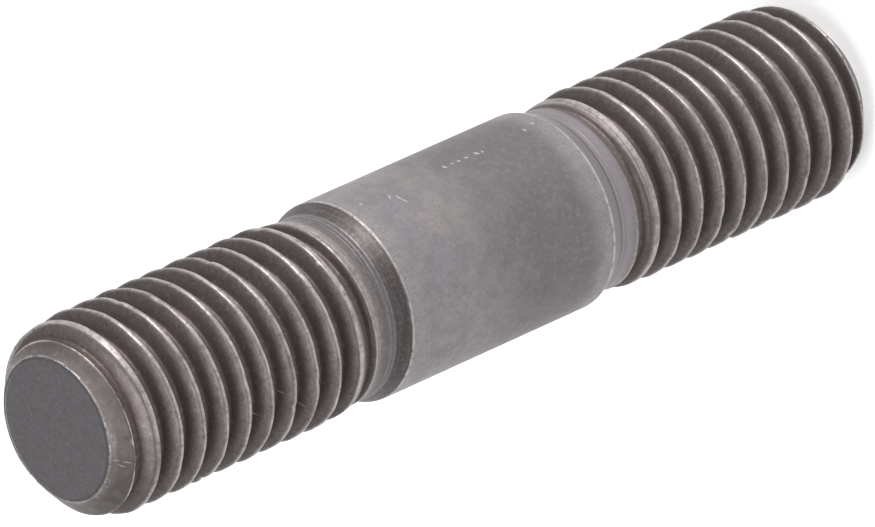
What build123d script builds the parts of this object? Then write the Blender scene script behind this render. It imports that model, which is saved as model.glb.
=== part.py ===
from build123d import *
import math
import os

# Double ended stud: one steel bar with a plain shank and the same right-hand thread rolled on both ends.
# Millimetres. The axis of the bar is Z. The lower end face lies on z = 0, centred on the origin.

# Lengths along the axis.
OVERALL_LENGTH = 60.0
LOWER_END_LENGTH = 22.0
UPPER_END_LENGTH = 22.0
SHOULDER_LENGTH = 1.0

# Diameters. A rolled thread stands proud of the neck that it is rolled on.
SHANK_DIAMETER = 12.0
MAJOR_DIAMETER = 11.86
NECK_DIAMETER = 11.1
END_FACE_DIAMETER = 8.6

# The thread: M12 x 1.75, with 60 degrees between its flanks.
PITCH = 1.75
THREAD_DEPTH = 1.0
CREST_WIDTH = 0.25
FLANK_ANGLE = 30.0

# The groove keeps its full depth until this far from the shank's corner, and fades out after that.
LOWER_RUN_OUT_ROOM = 3.6
UPPER_RUN_OUT_ROOM = 4.2
RUN_OUT_TURNS = 1.0
CREST_FADE_LENGTH = 2.7
CREST_FADE_LEAD = 0.8

# Where the groove enters each end face, in degrees around the axis seen from the shank.
LOWER_START_ANGLE = 234.0
UPPER_START_ANGLE = 188.0

# Edge forms of the shoulders.
CHAMFER_ANGLE = 45.0
NECK_FILLET = 1.0
SHANK_EDGE_RADIUS = 0.15

# How far the thread cutter stands out past the crests, and how far its root clears the neck at the end.
CUTTER_MARGIN = 0.4
RUN_OUT_CLEARANCE = 0.05

shank_radius = SHANK_DIAMETER / 2
crest_radius = MAJOR_DIAMETER / 2
root_radius = crest_radius - THREAD_DEPTH
neck_radius = NECK_DIAMETER / 2
end_face_radius = END_FACE_DIAMETER / 2
flank_slope = math.tan(math.radians(FLANK_ANGLE))
lower_full_thread = LOWER_END_LENGTH - LOWER_RUN_OUT_ROOM
upper_full_thread = UPPER_END_LENGTH - UPPER_RUN_OUT_ROOM


def end_outline(end_length, full_thread):
    """Radius and distance from the end face, for one end of the bar, from its axis to the shank's corner."""
    chamfer_length = (crest_radius - end_face_radius) / math.tan(math.radians(CHAMFER_ANGLE))
    fade_start = full_thread - CREST_FADE_LEAD
    return [
        (0, 0),
        (end_face_radius, 0),
        (crest_radius, chamfer_length),
        (crest_radius, fade_start),
        (neck_radius, fade_start + CREST_FADE_LENGTH),
        (neck_radius, end_length - SHOULDER_LENGTH),
        (shank_radius, end_length),
    ]


def turned_bar():
    """The bar before its threads are cut: chamfers, crests, necks, shoulders and shank."""
    lower = end_outline(LOWER_END_LENGTH, lower_full_thread)
    upper = end_outline(UPPER_END_LENGTH, upper_full_thread)
    outline = [(radius, distance) for radius, distance in lower]
    outline += [(radius, OVERALL_LENGTH - distance) for radius, distance in reversed(upper)]
    section = Plane.XZ * make_face(Polyline(*outline, close=True))
    neck_heights = (LOWER_END_LENGTH - SHOULDER_LENGTH, OVERALL_LENGTH - UPPER_END_LENGTH + SHOULDER_LENGTH)
    shank_heights = (LOWER_END_LENGTH, OVERALL_LENGTH - UPPER_END_LENGTH)
    section = rounded_at(section, neck_radius, neck_heights, NECK_FILLET)
    section = rounded_at(section, shank_radius, shank_heights, SHANK_EDGE_RADIUS)
    return revolve(section, axis=Axis.Z)


def rounded_at(section, radius, heights, rounding):
    """The section with the corners at this radius and these heights rounded."""
    places = [Vector(radius, 0, height) for height in heights]
    corners = [v for v in section.vertices() if min((Vector(v) - place).length for place in places) < 1e-5]
    return fillet(corners, rounding)


def groove_section(height):
    """The groove's trapezoid on the XZ plane, centred at this height."""
    half_root = (PITCH - CREST_WIDTH) / 2 - THREAD_DEPTH * flank_slope
    half_mouth = half_root + (THREAD_DEPTH + CUTTER_MARGIN) * flank_slope
    mouth_radius = crest_radius + CUTTER_MARGIN
    corners = [
        (root_radius, height - half_root),
        (mouth_radius, height - half_mouth),
        (mouth_radius, height + half_mouth),
        (root_radius, height + half_root),
    ]
    return Plane.XZ * make_face(Polyline(*corners, close=True))


def helical_groove(height, turns, run_out_angle=0.0):
    """The groove's section swept up a helix from this height, on a cone where it runs out."""
    pitch_along_cone = PITCH / math.cos(math.radians(run_out_angle))
    path = Helix(pitch_along_cone, PITCH * turns, crest_radius, (0, 0, height), cone_angle=run_out_angle)
    return sweep(groove_section(height), path=path, is_frenet=True)


def thread_grooves(full_thread, start_angle):
    """One end's groove, turn by turn, for an end whose face is at z = 0 with the bar above it."""
    full_turns = full_thread / PITCH + 1
    whole_turns = math.floor(full_turns)
    one_turn = helical_groove(-PITCH, 1)
    grooves = [Pos(0, 0, turn * PITCH) * one_turn for turn in range(whole_turns)]
    grooves.append(helical_groove((whole_turns - 1) * PITCH, full_turns - whole_turns))
    rise = neck_radius + RUN_OUT_CLEARANCE - root_radius
    run_out_angle = math.degrees(math.atan2(rise, RUN_OUT_TURNS * PITCH))
    run_out = helical_groove(full_thread, RUN_OUT_TURNS, run_out_angle)
    grooves.append(Rot(0, 0, 360 * full_turns) * run_out)
    return [Rot(0, 0, start_angle) * groove for groove in grooves]


def stud():
    """The whole stud as one solid."""
    upper_end = Pos(0, 0, OVERALL_LENGTH) * Rot(180, 0, 0)
    grooves = thread_grooves(lower_full_thread, LOWER_START_ANGLE)
    grooves += [upper_end * groove for groove in thread_grooves(upper_full_thread, UPPER_START_ANGLE)]
    bar = turned_bar()
    for groove in grooves:
        bar -= groove
    return bar


os.makedirs("parts", exist_ok=True)
model = stud()
model.label = "stud"
export_step(model, "parts/stud.step")
print("solids", len(model.solids()), "faces", len(model.faces()), "volume", round(model.volume, 1))
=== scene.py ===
import math
import bpy
import numpy as np
from mathutils import Matrix, Vector


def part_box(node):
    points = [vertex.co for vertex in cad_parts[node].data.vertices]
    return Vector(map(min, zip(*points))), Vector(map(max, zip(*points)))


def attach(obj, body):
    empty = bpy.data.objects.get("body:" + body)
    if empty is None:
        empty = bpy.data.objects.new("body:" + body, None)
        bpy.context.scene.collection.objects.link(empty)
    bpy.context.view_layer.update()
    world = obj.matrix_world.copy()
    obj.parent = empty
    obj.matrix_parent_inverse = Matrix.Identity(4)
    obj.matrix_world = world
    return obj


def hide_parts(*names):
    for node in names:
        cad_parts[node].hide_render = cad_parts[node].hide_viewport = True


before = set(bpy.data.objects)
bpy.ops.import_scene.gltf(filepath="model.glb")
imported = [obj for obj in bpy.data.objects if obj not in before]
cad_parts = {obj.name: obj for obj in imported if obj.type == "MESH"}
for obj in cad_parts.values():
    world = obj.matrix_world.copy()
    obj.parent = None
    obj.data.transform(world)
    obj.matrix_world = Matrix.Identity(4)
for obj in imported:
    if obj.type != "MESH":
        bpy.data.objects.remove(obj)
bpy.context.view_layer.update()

# ---------------------------------------------------------------------------------------------
# The stud. One bar of carbon steel, turned to length with a plain shank and two necks, with the
# same right-hand thread rolled on both ends. The rolls push the crests up above the neck, and the
# last turn of each thread sinks into it.
# ---------------------------------------------------------------------------------------------
MM = 0.001
low_corner, high_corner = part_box("stud")
LENGTH = (high_corner.z - low_corner.z) / MM
SHANK_RADIUS = (high_corner.x - low_corner.x) / 2 / MM

# Sizes are in millimetres, and a depth is measured along the axis from the nearer end face.
END_LENGTH = 22.0
SHOULDER_LENGTH = 1.0
NECK_RADIUS = 5.55
END_FACE_RADIUS = 4.3
PITCH = 1.75
CREST_RADIUS = 5.93
ROOT_RADIUS = 4.93
HALF_ROOT_FLAT = 0.17
FLANK_RISE = 1 / math.tan(math.radians(30))

# Upper and lower end: the depths at which the full thread and the helical strip of the mesh stop,
# the angle at which the groove enters the end face, and the depths of the turning lines.
UPPER_THREAD = {"full": 18.2, "strip": 20.1, "start_angle": 187.5, "rings": (20.34, 20.58, 20.9)}
LOWER_THREAD = {"full": 18.4, "strip": 20.4, "start_angle": 235.0, "rings": (20.72,)}


def smooth_min(a, b, width):
    """The smaller of two surfaces, with the corner between them rounded over this width."""
    blend = np.clip(0.5 + 0.5 * (b - a) / width, 0, 1)
    return b * (1 - blend) + a * blend - width * blend * (1 - blend)


def smooth_max(a, b, width):
    """The larger of two surfaces, rounded in the same way."""
    return -smooth_min(-a, -b, width)


def smooth_step(low, high, value):
    """0 below low, 1 above high and smooth between."""
    share = np.clip((value - low) / (high - low), 0, 1)
    return share * share * (3 - 2 * share)


# The crests start to sink this far before the full thread stops and reach the neck this far past
# it. On the first turn they are lower by the drop, which is gone between the two depths.
CREST_FADE_BEFORE = 1.1
CREST_FADE_PAST = 2.0
FIRST_TURN_DROP = 0.28
FIRST_TURN_DEPTHS = (1.3, 2.7)


def crest_envelope(depth, thread):
    """Radius of the crests: low on the first turn, then at full height, then down to the neck."""
    fade = smooth_step(thread["full"] - CREST_FADE_BEFORE, thread["full"] + CREST_FADE_PAST, depth)
    lead_in = FIRST_TURN_DROP * (1 - smooth_step(*FIRST_TURN_DEPTHS, depth))
    return CREST_RADIUS + (NECK_RADIUS - CREST_RADIUS) * fade - lead_in


SHOULDER_FILLET = 0.06
SHANK_CORNER = 0.05
TURNING_LINE_SINK = 0.03
TURNING_LINE_WIDTH = 0.045


def turned_radius(depth, rings):
    """Radius of the neck, the shoulder and the shank, with the fillet between neck and shoulder,
    the broken corner of the shank and a turning line at the depth of each ring."""
    rise = (SHANK_RADIUS - NECK_RADIUS) / SHOULDER_LENGTH
    shoulder = NECK_RADIUS + (depth - (END_LENGTH - SHOULDER_LENGTH)) * rise
    radius = smooth_max(np.full_like(depth, NECK_RADIUS), shoulder, SHOULDER_FILLET)
    radius = smooth_min(radius, np.full_like(depth, SHANK_RADIUS), SHANK_CORNER)
    for ring in rings:
        radius = radius - TURNING_LINE_SINK * np.exp(-(((depth - ring) / TURNING_LINE_WIDTH) ** 2))
    return radius


# The groove's floor is lifted a little and rounded, and runs out this far above the neck.
RUN_OUT_RISE = 0.05
FLOOR_LIFT = 0.03
FLOOR_ROUNDING = 0.10
CREST_ROUNDING = 0.06
CHAMFER_ROUNDING = 0.12


def thread_radius(depth, offset, centre, thread):
    """Radius of the threaded end, where the groove's middle is at the depth centre and the point
    lies at this offset from it along the axis."""
    sunk = np.clip((centre - thread["full"]) / PITCH, 0, None)
    root = ROOT_RADIUS + sunk * (NECK_RADIUS + RUN_OUT_RISE - ROOT_RADIUS)
    flank = root + np.maximum(np.abs(offset) - HALF_ROOT_FLAT, 0) * FLANK_RISE
    flank = smooth_max(flank, root + FLOOR_LIFT, FLOOR_ROUNDING)
    radius = smooth_min(flank, crest_envelope(depth, thread), CREST_ROUNDING)
    chamfer = END_FACE_RADIUS + depth
    return smooth_min(radius, chamfer, CHAMFER_ROUNDING)


# Handling nicks on the crests, each at an angle round the axis and a height, both picked at random.
NICKS_PER_END = 45
NICK_DEPTHS = (1.2, 18.5)
NICK_HALF_WIDTHS = (0.12, 0.4)
NICK_HALF_HEIGHT = 0.35
NICK_SINK = 0.10
dice = np.random.default_rng(4)
nick_angles = dice.uniform(0, 2 * math.pi, 2 * NICKS_PER_END)
lower_nicks = dice.uniform(*NICK_DEPTHS, NICKS_PER_END)
upper_nicks = LENGTH - dice.uniform(*NICK_DEPTHS, NICKS_PER_END)
nick_heights = np.concatenate([lower_nicks, upper_nicks])
nick_half_widths = dice.uniform(*NICK_HALF_WIDTHS, 2 * NICKS_PER_END)

# Crest wear sets in between these radii, and keeps this far from the shank.
WEAR_FROM_RADIUS = 5.75
WEAR_FULL_RADIUS = 5.9
WEAR_CLEARANCE = 1.2
CREST_WAVE = 0.012
CREST_RIPPLE = 0.010


def worn(points):
    """The points, in millimetres, with the crests a little uneven and nicked."""
    x, y, z = points.T
    radius = np.hypot(x, y)
    angle = np.arctan2(y, x)
    on_lower = z < END_LENGTH - WEAR_CLEARANCE
    on_upper = z > LENGTH - END_LENGTH + WEAR_CLEARANCE
    on_crest = smooth_step(WEAR_FROM_RADIUS, WEAR_FULL_RADIUS, radius) * (on_lower | on_upper)
    waves = CREST_WAVE * np.sin(9 * angle + 2.1 * z)
    ripples = CREST_RIPPLE * np.sin(23 * angle - 3.7 * z + 1)
    sink = on_crest * (CREST_WAVE + (waves + ripples))
    for nick_angle, nick_height, half_width in zip(nick_angles, nick_heights, nick_half_widths):
        away_round = (angle - nick_angle + math.pi) % (2 * math.pi) - math.pi
        away_along = (z - nick_height) / NICK_HALF_HEIGHT
        away = (away_round * WEAR_FULL_RADIUS / half_width) ** 2 + away_along ** 2
        sink = sink + on_crest * NICK_SINK * np.exp(-away)
    share = np.divide(radius - sink, radius, out=np.ones_like(radius), where=radius > 1e-6)
    return np.column_stack([x * share, y * share, z])


# The strip is wound from before the end face to past its last depth, so that both ends are whole.
STEPS_ROUND = 144
STEP_ANGLE = 2 * math.pi / STEPS_ROUND
STEPS_ACROSS_PITCH = 20
TURNS_BEFORE_FACE = 2
TURNS_PAST_STRIP = 1.6
FACE_RIM_RADIUS = END_FACE_RADIUS - 0.01


def helical_strip(thread):
    """Points and quads of one threaded end, wound turn by turn along its groove, with its two
    ends flattened on to the end face and the neck."""
    first = -TURNS_BEFORE_FACE * STEPS_ROUND
    last = int(STEPS_ROUND * (thread["strip"] / PITCH + TURNS_PAST_STRIP))
    steps = np.arange(first, last + 1)
    across = np.arange(STEPS_ACROSS_PITCH) / STEPS_ACROSS_PITCH - 0.5
    turn, share = np.meshgrid(steps / STEPS_ROUND, across, indexing="ij")
    centre = turn * PITCH
    offset = share * PITCH
    depth = np.clip(centre + offset, 0, thread["strip"])
    radius = thread_radius(depth, offset, centre, thread)
    radius = np.where(centre + offset <= 0, FACE_RIM_RADIUS, radius)
    past_strip = centre + offset >= thread["strip"]
    radius = np.where(past_strip, turned_radius(depth, thread["rings"]), radius)
    slot = np.broadcast_to((steps % STEPS_ROUND)[:, None], turn.shape)
    angle = slot * STEP_ANGLE
    x, y = radius * np.cos(angle), radius * np.sin(angle)
    points = np.column_stack([x.ravel(), y.ravel(), depth.ravel()])

    def place(step, row):
        """Index of a point; row STEPS_ACROSS_PITCH of one turn is row 0 of the next."""
        wraps = row // STEPS_ACROSS_PITCH
        return (step + wraps * STEPS_ROUND) * STEPS_ACROSS_PITCH + row % STEPS_ACROSS_PITCH

    whole_steps = np.arange(len(steps) - 1 - STEPS_ROUND)
    step, row = np.meshgrid(whole_steps, np.arange(STEPS_ACROSS_PITCH), indexing="ij")
    step, row = step.ravel(), row.ravel()
    quads = np.column_stack([
        place(step, row), place(step + 1, row), place(step + 1, row + 1), place(step, row + 1)])
    return points, quads


def ring_stack(radii, heights):
    """Points and quads of rings stacked along the axis, lowest first."""
    angle = np.arange(STEPS_ROUND) * STEP_ANGLE
    x = np.outer(radii, np.cos(angle))
    y = np.outer(radii, np.sin(angle))
    z = np.repeat(np.asarray(heights)[:, None], STEPS_ROUND, axis=1)
    points = np.column_stack([x.ravel(), y.ravel(), z.ravel()])
    ring, slot = np.meshgrid(np.arange(len(radii) - 1), np.arange(STEPS_ROUND), indexing="ij")
    ring, slot = ring.ravel(), slot.ravel()
    after = (slot + 1) % STEPS_ROUND
    base = ring * STEPS_ROUND
    quads = np.column_stack([
        base + slot, base + after, base + after + STEPS_ROUND, base + slot + STEPS_ROUND])
    return points, quads


def turned(points, angle):
    """The points turned round the axis by whole steps of the mesh, so all sections share rings."""
    turn = round(math.radians(angle) / STEP_ANGLE) * STEP_ANGLE
    spin = np.array([[math.cos(turn), -math.sin(turn)], [math.sin(turn), math.cos(turn)]])
    return np.column_stack([points[:, :2] @ spin.T, points[:, 2]])


def upside_down(points):
    """From the lower end's own place to the upper end's, turned end over end about the X axis."""
    return points * np.array([1, -1, -1]) + np.array([0, 0, LENGTH])


sections = []

# The threaded ends. Turning one end over end keeps it right-handed.
lower_points, lower_quads = helical_strip(LOWER_THREAD)
sections.append((turned(lower_points, LOWER_THREAD["start_angle"]), lower_quads))
upper_points, upper_quads = helical_strip(UPPER_THREAD)
sections.append((upside_down(turned(upper_points, UPPER_THREAD["start_angle"])), upper_quads))

# The necks, shoulders and shank between the two strips: close rings until just past the corner of
# the shank, then wider ones to the middle.
CLOSE_RING_STEP = 0.045
CLOSE_RINGS_STOP = END_LENGTH + 0.2
WIDE_RINGS_START = END_LENGTH + 0.25
WIDE_RING_COUNT = 32


def turned_rings(thread):
    """Radii and depths of the rings from the thread's strip to the middle of the shank."""
    close_rings = np.arange(thread["strip"], CLOSE_RINGS_STOP, CLOSE_RING_STEP)
    wide_rings = np.linspace(WIDE_RINGS_START, LENGTH / 2, WIDE_RING_COUNT)
    depths = np.concatenate([close_rings, wide_rings])
    return turned_radius(depths, thread["rings"]), depths


lower_radii, lower_depths = turned_rings(LOWER_THREAD)
upper_radii, upper_depths = turned_rings(UPPER_THREAD)
middle_heights = np.concatenate([lower_depths, (LENGTH - upper_depths)[::-1][1:]])
middle_radii = np.concatenate([lower_radii, upper_radii[::-1][1:]])
sections.append(ring_stack(middle_radii, middle_heights))

# The end faces, closed at the middle by one point each. Their quads run the other way round from
# those of the other sections, so the normals of both faces point into the stud.
inner_face_radii = np.linspace(0.5, END_FACE_RADIUS - 0.25, 9)
face_radii = np.concatenate([[0.0], inner_face_radii, [FACE_RIM_RADIUS]])
face_points, face_quads = ring_stack(face_radii, np.zeros_like(face_radii))
sections.append((face_points, face_quads[:, ::-1]))
sections.append((upside_down(face_points), face_quads[:, ::-1]))

# All sections as one skin without gaps: points that coincide on the grid are one, and flattened
# quads shrink to triangles.
MERGE_GRID = 1e-5
all_points = np.concatenate([points for points, _ in sections])
starts = np.cumsum([0] + [len(points) for points, _ in sections[:-1]])
all_quads = np.concatenate([quads + start for (_, quads), start in zip(sections, starts)])
grid_keys = np.round(all_points / MERGE_GRID).astype(np.int64)
_, first_index, merged_index = np.unique(
    grid_keys, axis=0, return_index=True, return_inverse=True)
skin_points = worn(all_points[first_index])
skin_faces = []
for corners in merged_index.reshape(-1)[all_quads]:
    loop = [int(corner) for place, corner in enumerate(corners) if corner != corners[place - 1]]
    if len(set(loop)) >= 3:
        skin_faces.append(loop)

stud_mesh = bpy.data.meshes.new("stud_steel")
stud_mesh.from_pydata((skin_points * MM).tolist(), [], skin_faces)
stud_mesh.validate()
stud_mesh.polygons.foreach_set("use_smooth", [True] * len(stud_mesh.polygons))
stud_mesh.update()
stud = bpy.data.objects.new("stud_steel", stud_mesh)
bpy.context.scene.collection.objects.link(stud)
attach(stud, "root")
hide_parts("stud")

# ---------------------------------------------------------------------------------------------
# The finish. A thin black oxide on steel, brownish grey and matt, darker down in the grooves, partly
# with painted shade, rubbed back to bright metal along the crests and the corners of the shank.
# Painted shade also darkens the lower shank and the inner corner of the lower neck, and painted light
# makes the thread flanks paler towards the crests.
# ---------------------------------------------------------------------------------------------
SHANK_WARM = (0.258, 0.237, 0.237)
SHANK_COOL = (0.240, 0.221, 0.237)
SHANK_DARK = (0.140, 0.129, 0.134)
SHANK_RUBBED = (0.300, 0.280, 0.282)
THREAD_COAT = (0.195, 0.168, 0.165)
THREAD_PALE = (0.310, 0.276, 0.272)
NECK_COAT = (0.132, 0.119, 0.122)
SHOULDER_COAT = (0.100, 0.086, 0.086)
FACE_COAT = (0.180, 0.170, 0.182)
FACE_PALE = (0.235, 0.222, 0.236)
GROOVE_BROWN = (0.118, 0.091, 0.084)
BARE_STEEL = (0.52, 0.485, 0.48)

oxide = bpy.data.materials.new("black_oxide_steel")
oxide.use_nodes = True
nodes = oxide.node_tree.nodes
links = oxide.node_tree.links
nodes.clear()


def set_input(node, name, value):
    """A number or colour goes on the socket, and another node's output is linked to it."""
    if isinstance(value, bpy.types.NodeSocket):
        links.new(value, node.inputs[name])
    else:
        node.inputs[name].default_value = value


def maths(operation, *values):
    """One math node on numbers or other nodes' outputs."""
    node = nodes.new("ShaderNodeMath")
    node.operation = operation
    for place, value in enumerate(values):
        set_input(node, place, value)
    return node.outputs[0]


def times(first, *others):
    """The product of several values."""
    for other in others:
        first = maths("MULTIPLY", first, other)
    return first


def highest(first, *others):
    """The highest of several values."""
    for other in others:
        first = maths("MAXIMUM", first, other)
    return first


def opposite(mask):
    """0 where a mask is 1, and 1 where it is 0."""
    return maths("SUBTRACT", 1.0, mask)


def ramp(value, low, high):
    """0 below low, 1 above high and smooth between; low may be the larger."""
    node = nodes.new("ShaderNodeMapRange")
    node.interpolation_type = "SMOOTHSTEP"
    set_input(node, "Value", value)
    if low <= high:
        set_input(node, "From Min", low)
        set_input(node, "From Max", high)
    else:
        set_input(node, "From Min", high)
        set_input(node, "From Max", low)
        set_input(node, "To Min", 1.0)
        set_input(node, "To Max", 0.0)
    return node.outputs[0]


def distance_from(value, place):
    """How far a value is from a place, on either side of it."""
    return maths("ABSOLUTE", maths("SUBTRACT", value, place))


def band(value, place, outer, inner):
    """1 within the inner distance from a place, 0 beyond the outer one and smooth between."""
    return ramp(distance_from(value, place), outer, inner)


def mixed(share, first, second):
    """The first colour where the share is 0 and the second where it is 1."""
    node = nodes.new("ShaderNodeMix")
    node.data_type = "RGBA"
    set_input(node, 0, share)
    set_input(node, 6, (*first, 1) if isinstance(first, tuple) else first)
    set_input(node, 7, (*second, 1) if isinstance(second, tuple) else second)
    return node.outputs[2]


def noise(vector, scale, detail=3.0, roughness=0.55):
    """Cloudy noise between 0 and 1, mostly near 0.5."""
    node = nodes.new("ShaderNodeTexNoise")
    set_input(node, "Vector", vector)
    set_input(node, "Scale", scale)
    set_input(node, "Detail", detail)
    set_input(node, "Roughness", roughness)
    return node.outputs["Fac"]


# Places on the stud in millimetres: round the bar from its front, along it, and out from its axis.
coordinates = nodes.new("ShaderNodeTexCoord")
scaled = nodes.new("ShaderNodeVectorMath")
scaled.operation = "SCALE"
set_input(scaled, 0, coordinates.outputs["Object"])
set_input(scaled, "Scale", 1 / MM)
spot = scaled.outputs[0]
split = nodes.new("ShaderNodeSeparateXYZ")
set_input(split, 0, spot)
across, behind, height = split.outputs
out = maths("SQRT", maths("ADD", times(across, across), times(behind, behind)))
bearing = maths("ARCTAN2", across, times(behind, -1.0))
arc = times(bearing, SHANK_RADIUS)
above_middle = maths("SUBTRACT", height, LENGTH / 2)
from_end = maths("SUBTRACT", LENGTH / 2, maths("ABSOLUTE", above_middle))
upper_half = maths("GREATER_THAN", above_middle, 0.0)


def unrolled(round_scale, along_scale):
    """The surface laid out flat: round the bar, along it, and out from it."""
    node = nodes.new("ShaderNodeCombineXYZ")
    set_input(node, 0, times(arc, round_scale))
    set_input(node, 1, times(height, along_scale))
    set_input(node, 2, out)
    return node.outputs[0]


patches = noise(spot, 0.30, 3.0)
mottle = noise(spot, 1.1, 4.0, 0.6)
grain = noise(spot, 3.6, 3.0, 0.75)
pits = noise(spot, 6.0, 2.0, 0.7)
turning = noise(unrolled(0.3, 9.0), 1.0, 2.0)
wear_patches = noise(unrolled(0.35, 0.9), 1.0, 4.0, 0.65)
wear_fine = noise(spot, 3.2, 3.0, 0.7)

# How far a place is from the middle of the groove, along the axis. The groove winds the other way
# as it is measured from the upper end, and it enters the two end faces at different angles.
winding = opposite(times(upper_half, 2.0))
start_middle = (LOWER_THREAD["start_angle"] + UPPER_THREAD["start_angle"]) / 2
start_apart = (LOWER_THREAD["start_angle"] - UPPER_THREAD["start_angle"]) / 2
start = maths("ADD", start_middle, times(winding, start_apart))
degrees = maths("SUBTRACT", times(bearing, 180 / math.pi), 90.0)
past_start = maths("SUBTRACT", times(degrees, winding), start)
turns = maths("SUBTRACT", maths("DIVIDE", from_end, PITCH), maths("DIVIDE", past_start, 360.0))
part_turn = maths("SUBTRACT", maths("FRACT", maths("ADD", turns, 0.5)), 0.5)
off_groove = times(maths("ABSOLUTE", part_turn), PITCH)

# Where things are: grooves, crests, necks with their shoulders, end faces and worn corners. Each
# mask sets in between the two millimetre values of its ramps.
GROOVE_EDGE = 0.56
NECK_LINE = 20.66
SHOULDER_LINE = 20.97
SHOULDER_FOOT = 21.03
threaded = ramp(from_end, 20.3, 19.6)
# Painted shade, over the brown of the oxide: the grooves darkened towards their floors.
groove = times(
    ramp(off_groove, GROOVE_EDGE, 0.08), ramp(from_end, 0.25, 0.75), ramp(from_end, 20.0, 19.0))
crest = times(
    ramp(off_groove, 0.64, 0.76), ramp(from_end, 1.45, 1.75), ramp(from_end, 20.0, 19.3))
last_edge = times(
    band(off_groove, GROOVE_EDGE, 0.12, 0.03), ramp(from_end, 18.7, 18.95),
    ramp(from_end, 20.0, 19.6))
# Painted light: the flanks paler towards each crest.
painted_light_beside_crest = times(ramp(off_groove, 0.36, 0.74), ramp(from_end, 1.0, 1.6), threaded)
neck = times(opposite(threaded), ramp(from_end, END_LENGTH, END_LENGTH - 0.06))
shoulder_start = END_LENGTH - SHOULDER_LENGTH
shoulder = ramp(from_end, shoulder_start, shoulder_start + 0.08)
neck_lines = highest(band(from_end, SHOULDER_LINE, 0.07, 0.02), band(from_end, NECK_LINE, 0.06, 0.02))
# Painted shade in the inner corner between neck and shoulder.
inner_corner_shade = band(from_end, SHOULDER_FOOT, 0.11, 0.03)
end_face = times(ramp(from_end, 0.05, 0.02), ramp(out, END_FACE_RADIUS, END_FACE_RADIUS - 0.08))
from_corner = distance_from(from_end, END_LENGTH)
corner = ramp(from_corner, 0.13, 0.02)
face_rim = times(band(out, END_FACE_RADIUS, 0.14, 0.02), ramp(from_end, 0.3, 0.1))
below_cone = maths("SUBTRACT", maths("ADD", from_end, END_FACE_RADIUS), out)
ridge = times(
    ramp(below_cone, 0.003, 0.018), ramp(below_cone, 0.18, 0.10), ramp(from_end, 0.30, 0.55),
    ramp(from_end, 2.0, 1.7))
chamfer = times(ramp(below_cone, 0.05, 0.0), ramp(from_end, 0.02, 0.06))

# Where the oxide is rubbed off, in broken patches: the crests, the rims of the end faces, the
# corners of the shank, the ridge between chamfer and thread, the part of the chamfer by the end
# face, and the last edge of the groove.
broken = times(ramp(wear_patches, 0.22, 0.58), ramp(wear_fine, 0.24, 0.58))
rim_patch = times(
    chamfer, ramp(from_end, 0.50, 0.15), ramp(wear_patches, 0.46, 0.60), ramp(wear_fine, 0.35, 0.6))
wear = highest(
    times(crest, broken, 0.62), times(face_rim, broken, 0.9), times(corner, broken, 0.75),
    times(ridge, ramp(wear_fine, 0.34, 0.52), ramp(wear_patches, 0.30, 0.50), 0.95),
    times(rim_patch, 0.55), times(last_edge, ramp(wear_fine, 0.25, 0.6), 0.45))

# The shank is rubbed paler by its corners, darker towards its lower end as painted shade, and
# speckled all over.
shank_coat = mixed(ramp(patches, 0.40, 0.60), SHANK_COOL, SHANK_WARM)
shank_coat = mixed(times(ramp(mottle, 0.38, 0.66), 0.25), shank_coat, SHANK_DARK)
# Painted shade: the shank darker towards its lower end, with a wavy edge.
lower_shank_shade = ramp(maths("ADD", height, times(patches, 5.0)), 37.5, 29.5)
lower_shank_shade = times(lower_shank_shade, ramp(from_corner, 0.4, 2.2))
shank_coat = mixed(times(lower_shank_shade, 0.80), shank_coat, SHANK_DARK)
rubbed = times(ramp(from_corner, 1.7, 0.1), ramp(wear_fine, 0.30, 0.66))
shank_coat = mixed(times(rubbed, 0.80), shank_coat, SHANK_RUBBED)
shank_coat = mixed(times(ramp(grain, 0.46, 0.74), 0.34), shank_coat, SHANK_RUBBED)
shank_coat = mixed(times(ramp(pits, 0.48, 0.30), 0.50), shank_coat, SHANK_DARK)
shank_coat = mixed(times(ramp(pits, 0.70, 0.78), 0.40), shank_coat, BARE_STEEL)

# The threads hold more of the oxide. Their grooves are darker still, brown oxide with painted shade
# on top, and their flanks carry painted light, paler towards each crest.
thread_coat = mixed(times(ramp(mottle, 0.40, 0.68), 0.5), THREAD_COAT, NECK_COAT)
# Painted light on the flanks beside the crests, broken up by the grain.
thread_coat = mixed(times(painted_light_beside_crest, ramp(grain, 0.35, 0.70), 0.45), thread_coat, THREAD_PALE)
thread_coat = mixed(times(groove, 0.90), thread_coat, GROOVE_BROWN)
thread_coat = mixed(times(ramp(grain, 0.52, 0.72), 0.50), thread_coat, THREAD_PALE)
thread_coat = mixed(times(ramp(pits, 0.46, 0.32), 0.60), thread_coat, GROOVE_BROWN)
chamfer_middle = times(chamfer, ramp(from_end, 0.25, 0.45), ramp(mottle, 0.30, 0.55))
thread_coat = mixed(times(chamfer, 0.30), thread_coat, THREAD_PALE)
thread_coat = mixed(times(chamfer_middle, 0.40), thread_coat, SHOULDER_COAT)

# The upper neck is darker than the lower one, with a near black shoulder and two rubbed lines. The
# lower one has a line of painted shade in its inner corner.
neck_coat = mixed(upper_half, SHANK_COOL, NECK_COAT)
neck_coat = mixed(times(shoulder, upper_half), neck_coat, SHOULDER_COAT)
neck_coat = mixed(times(ramp(turning, 0.45, 0.75), 0.22), neck_coat, THREAD_PALE)
neck_coat = mixed(times(ramp(grain, 0.45, 0.72), 0.30), neck_coat, THREAD_PALE)
rubbed_lines = times(neck_lines, upper_half, ramp(wear_fine, 0.2, 0.6), 0.55)
neck_coat = mixed(rubbed_lines, neck_coat, SHANK_RUBBED)
neck_coat = mixed(times(inner_corner_shade, opposite(upper_half), 0.80), neck_coat, GROOVE_BROWN)

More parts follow.
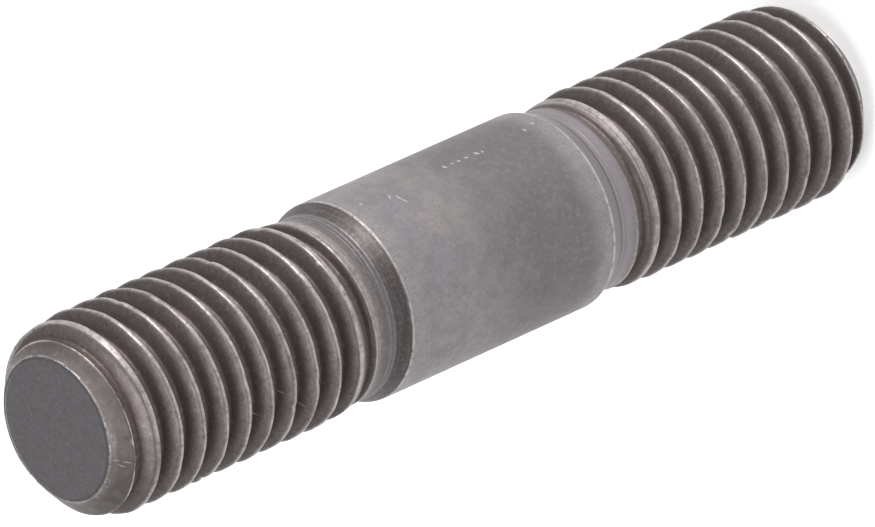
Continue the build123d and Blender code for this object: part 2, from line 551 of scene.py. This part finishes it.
# The end faces are mottled and a little paler in the grain.
face_coat = mixed(times(ramp(mottle, 0.40, 0.66), 0.45), FACE_COAT, NECK_COAT)
face_coat = mixed(times(ramp(grain, 0.42, 0.70), 0.60), face_coat, FACE_PALE)
face_coat = mixed(times(ramp(pits, 0.46, 0.32), 0.35), face_coat, SHOULDER_COAT)

shank_part = ramp(from_end, END_LENGTH - 0.04, END_LENGTH + 0.02)
coat = mixed(shank_part, thread_coat, shank_coat)
coat = mixed(neck, coat, neck_coat)
coat = mixed(end_face, coat, face_coat)
coat = mixed(wear, coat, BARE_STEEL)

flat = nodes.new("ShaderNodeCombineXYZ")
set_input(flat, 0, arc)
set_input(flat, 1, height)
flat_place = flat.outputs[0]


def mark(angle, along, half_length, half_width, lean):
    """A scratch or nick, as a narrow ellipse at an angle round the bar and a height, leaning from
    the round by this many degrees."""
    node = nodes.new("ShaderNodeMapping")
    node.vector_type = "TEXTURE"
    set_input(node, "Vector", flat_place)
    set_input(node, "Location", (math.radians(angle) * SHANK_RADIUS, along, 0))
    set_input(node, "Rotation", (0, 0, math.radians(lean)))
    set_input(node, "Scale", (half_length, half_width, 1))
    reach = nodes.new("ShaderNodeVectorMath")
    reach.operation = "LENGTH"
    set_input(reach, 0, node.outputs[0])
    return ramp(reach.outputs["Value"], 1.0, 0.3)


def all_marks(places):
    """One mask of the marks at all these places."""
    return highest(*[mark(*place) for place in places])


# Bright handling marks: a row of specks and a curled scratch on the shank, nicks on the crests,
# hair scratches in the upper grooves, and a burr with short scratches on the upper chamfer. Dark
# ones lie beside three of them. Each is an angle, a height, half a length, half a width, a lean.
bright_marks = all_marks((
    (49.6, 30.2, 0.24, 0.12, 20), (49.5, 29.6, 0.12, 0.08, 80), (49.2, 29.1, 0.17, 0.11, 80),
    (49.4, 28.5, 0.20, 0.10, 60), (49.1, 27.7, 0.26, 0.14, 30), (48.3, 27.3, 0.14, 0.10, 0),
    (50.7, 23.7, 0.20, 0.10, 0), (53.5, 22.8, 0.24, 0.11, 40), (49.4, 36.8, 0.18, 0.10, 10),
    (45.6, 34.95, 0.30, 0.07, -25), (42.0, 34.55, 0.34, 0.07, 5), (38.6, 34.45, 0.30, 0.07, 25),
    (30.5, 16.7, 0.34, 0.12, 10), (-51.5, 5.7, 0.32, 0.12, 15), (6.8, 42.0, 0.20, 0.12, 0),
    (25.4, 42.4, 0.22, 0.12, 0), (4.1, 50.9, 0.24, 0.12, 10), (53.3, 54.7, 0.22, 0.14, 0),
    (-47.2, 49.5, 0.26, 0.05, 60), (-38.0, 47.7, 0.24, 0.05, 50), (-55.5, 45.8, 0.24, 0.05, 65),
    (-8.0, 53.55, 0.60, 0.07, -4), (-27.5, 59.0, 0.42, 0.14, 10), (-41.0, 59.3, 0.26, 0.06, 80),
    (-44.0, 59.5, 0.26, 0.06, 60), (-40.0, 59.75, 0.24, 0.05, 85)))
dark_marks = all_marks((
    (-8.0, 53.3, 0.75, 0.10, -4), (-24.0, 59.25, 0.30, 0.12, 20), (31.0, 16.45, 0.30, 0.08, 10)))
coat = mixed(times(dark_marks, 0.7), coat, GROOVE_BROWN)
coat = mixed(times(bright_marks, 0.90), coat, BARE_STEEL)

roughness = maths("ADD", 0.42, times(mottle, 0.20))
roughness = maths("SUBTRACT", roughness, times(wear, 0.12))

relief = maths("ADD", times(grain, 0.8), times(turning, opposite(threaded), 0.5))
bump = nodes.new("ShaderNodeBump")
set_input(bump, "Strength", 0.5)
set_input(bump, "Distance", 0.02 * MM)
set_input(bump, "Height", relief)

shader = nodes.new("ShaderNodeBsdfPrincipled")
set_input(shader, "Base Color", coat)
set_input(shader, "Metallic", 0.85)
set_input(shader, "Roughness", roughness)
set_input(shader, "Normal", bump.outputs[0])
output = nodes.new("ShaderNodeOutputMaterial")
set_input(output, 0, shader.outputs[0])
stud_mesh.materials.append(oxide)

# ---------------------------------------------------------------------------------------------
# The studio. The stud stands on its lower end on a plain white floor, in soft light from a large
# lamp overhead, a smaller one at the front right with a faint one above it, and the plain white
# surroundings.
# ---------------------------------------------------------------------------------------------
FLOOR_HALF = 1.5
floor_corners = [
    (-FLOOR_HALF, -FLOOR_HALF, 0), (FLOOR_HALF, -FLOOR_HALF, 0),
    (FLOOR_HALF, FLOOR_HALF, 0), (-FLOOR_HALF, FLOOR_HALF, 0)]
floor_mesh = bpy.data.meshes.new("floor")
floor_mesh.from_pydata(floor_corners, [], [(0, 1, 2, 3)])
floor = bpy.data.objects.new("floor", floor_mesh)
bpy.context.scene.collection.objects.link(floor)


def seen_white(tree):
    """1 for what the camera sees directly, in a mirror or through glass, and 0 for light that
    falls on things."""
    path = tree.nodes.new("ShaderNodeLightPath")
    first = tree.nodes.new("ShaderNodeMath")
    first.operation = "MAXIMUM"
    tree.links.new(path.outputs["Is Camera Ray"], first.inputs[0])
    tree.links.new(path.outputs["Is Glossy Ray"], first.inputs[1])
    second = tree.nodes.new("ShaderNodeMath")
    second.operation = "MAXIMUM"
    tree.links.new(first.outputs[0], second.inputs[0])
    tree.links.new(path.outputs["Is Transmission Ray"], second.inputs[1])
    return second.outputs[0]


# White paper: its own shade, lifted to white where it is looked at, so that shadows still show.
paper = bpy.data.materials.new("white_floor")
paper.use_nodes = True
paper_tree = paper.node_tree
paper_tree.nodes.clear()
paper_diffuse = paper_tree.nodes.new("ShaderNodeBsdfDiffuse")
paper_diffuse.inputs["Color"].default_value = (0.80, 0.80, 0.80, 1)
paper_lift = paper_tree.nodes.new("ShaderNodeEmission")
paper_lift.inputs["Color"].default_value = (1, 1, 1, 1)
lift_strength = paper_tree.nodes.new("ShaderNodeMath")
lift_strength.operation = "MULTIPLY"
paper_tree.links.new(seen_white(paper_tree), lift_strength.inputs[0])
lift_strength.inputs[1].default_value = 0.5
paper_tree.links.new(lift_strength.outputs[0], paper_lift.inputs["Strength"])
paper_sum = paper_tree.nodes.new("ShaderNodeAddShader")
paper_tree.links.new(paper_diffuse.outputs[0], paper_sum.inputs[0])
paper_tree.links.new(paper_lift.outputs[0], paper_sum.inputs[1])
paper_output = paper_tree.nodes.new("ShaderNodeOutputMaterial")
paper_tree.links.new(paper_sum.outputs[0], paper_output.inputs[0])
floor_mesh.materials.append(paper)

# The surroundings light the stud weakly, and are plain white to the camera.
world = bpy.data.worlds.new("studio")
bpy.context.scene.world = world
world.use_nodes = True
world_tree = world.node_tree
world_tree.nodes.clear()
surroundings = world_tree.nodes.new("ShaderNodeBackground")
surroundings.inputs["Color"].default_value = (1, 1, 1, 1)
surroundings.inputs["Strength"].default_value = 0.36
backdrop = world_tree.nodes.new("ShaderNodeBackground")
backdrop.inputs["Color"].default_value = (1, 1, 1, 1)
backdrop.inputs["Strength"].default_value = 1.0
world_path = world_tree.nodes.new("ShaderNodeLightPath")
world_mix = world_tree.nodes.new("ShaderNodeMixShader")
world_tree.links.new(world_path.outputs["Is Camera Ray"], world_mix.inputs[0])
world_tree.links.new(surroundings.outputs[0], world_mix.inputs[1])
world_tree.links.new(backdrop.outputs[0], world_mix.inputs[2])
world_output = world_tree.nodes.new("ShaderNodeOutputWorld")
world_tree.links.new(world_mix.outputs[0], world_output.inputs[0])

LAMP_DISTANCE = 0.8
stud_middle = Vector((0, 0, LENGTH / 2 * MM))


def soft_lamp(name, direction, size, power):
    """A square lamp that looks at the middle of the stud from this direction."""
    lamp_data = bpy.data.lights.new(name, "AREA")
    lamp_data.shape = "SQUARE"
    lamp_data.size = size
    lamp_data.energy = power
    lamp = bpy.data.objects.new(name, lamp_data)
    towards = Vector(direction).normalized()
    lamp.location = stud_middle + towards * LAMP_DISTANCE
    lamp.rotation_mode = "QUATERNION"
    lamp.rotation_quaternion = towards.to_track_quat("Z", "Y")
    lamp.visible_camera = False
    bpy.context.scene.collection.objects.link(lamp)


soft_lamp("overhead", (-0.20, 0.0, 1.0), size=0.6, power=4.6)
soft_lamp("front", (0.80, -0.60, 0.12), size=0.3, power=4.2)
soft_lamp("side", (0.80, -0.60, 0.35), size=0.5, power=0.6)

# The camera looks down at the stud from in front, from far off, and is rolled so that the stud
# lies across the picture with its upper end at the lower left. Its place is in millimetres.
CAMERA_ELEVATION = math.radians(38.46)
CAMERA_ROLL = math.radians(114.18)
CAMERA_DISTANCE = 910.14
CAMERA_AIM_HEIGHT = 29.4
CAMERA_SIDE = -0.6235
CAMERA_LIFT = -0.5762
backwards = Vector((0, -math.cos(CAMERA_ELEVATION), math.sin(CAMERA_ELEVATION)))
level = Vector((1, 0, 0))
upright = Vector((0, math.sin(CAMERA_ELEVATION), math.cos(CAMERA_ELEVATION)))
picture_right = level * math.cos(CAMERA_ROLL) - upright * math.sin(CAMERA_ROLL)
picture_up = level * math.sin(CAMERA_ROLL) + upright * math.cos(CAMERA_ROLL)
camera_data = bpy.data.cameras.new("camera")
camera_data.sensor_width = 36
camera_data.lens = 658.3
camera_data.clip_start = 0.05
camera_data.clip_end = 10
camera = bpy.data.objects.new("camera", camera_data)
bpy.context.scene.collection.objects.link(camera)
camera_place = Vector((0, 0, CAMERA_AIM_HEIGHT)) + backwards * CAMERA_DISTANCE
camera_place += picture_right * CAMERA_SIDE + picture_up * CAMERA_LIFT
camera_turn = Matrix((picture_right, picture_up, backwards)).transposed()
camera.matrix_world = Matrix.Translation(camera_place * MM) @ camera_turn.to_4x4()
bpy.context.scene.camera = camera

bpy.context.scene.view_settings.view_transform = "Standard"
